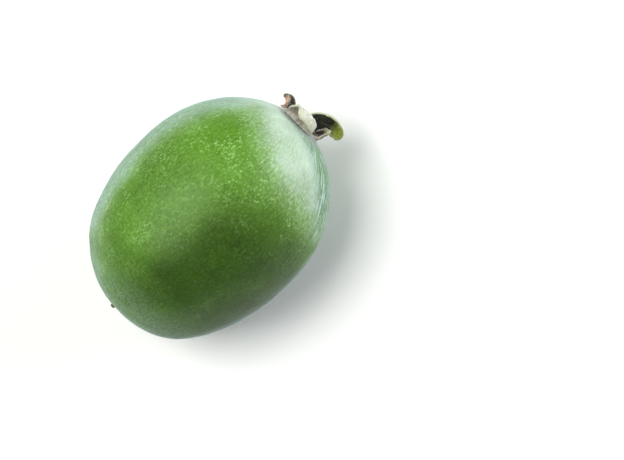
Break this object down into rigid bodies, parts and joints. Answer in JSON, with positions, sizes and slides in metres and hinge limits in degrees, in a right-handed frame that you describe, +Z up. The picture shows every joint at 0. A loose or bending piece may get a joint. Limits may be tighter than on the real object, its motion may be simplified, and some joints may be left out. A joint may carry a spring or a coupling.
{
  "type": "feijoa",
  "caption": "Whole ripe feijoa lying on its side, an egg-shaped green fruit with its felted calyx lobes at one end and a dry stem stub at the other.",
  "frame": {"origin": "middle of the underside of the fruit's box, on the surface that the fruit lies on", "axes": "+X along the fruit's long axis from the stem end to the calyx, +Z up from the flat spot it rests on"},
  "size_m": [0.0714, 0.0498, 0.0489],
  "materials": {
    "feijoa_skin": "waxy green rind with a faint pale bloom",
    "calyx_felt": "dry grey-green felt of short hairs",
    "dry_stalk": "dry brown stalk"
  },
  "bodies": {
    "root": {"fruit_body": "feijoa_skin", "sepal_large_upper": "calyx_felt", "sepal_large_under": "calyx_felt", "sepal_small_left": "calyx_felt", "sepal_small_right": "calyx_felt", "stem_stub": "dry_stalk", "style_stub": "dry_stalk"}
  },
  "joints": []
}
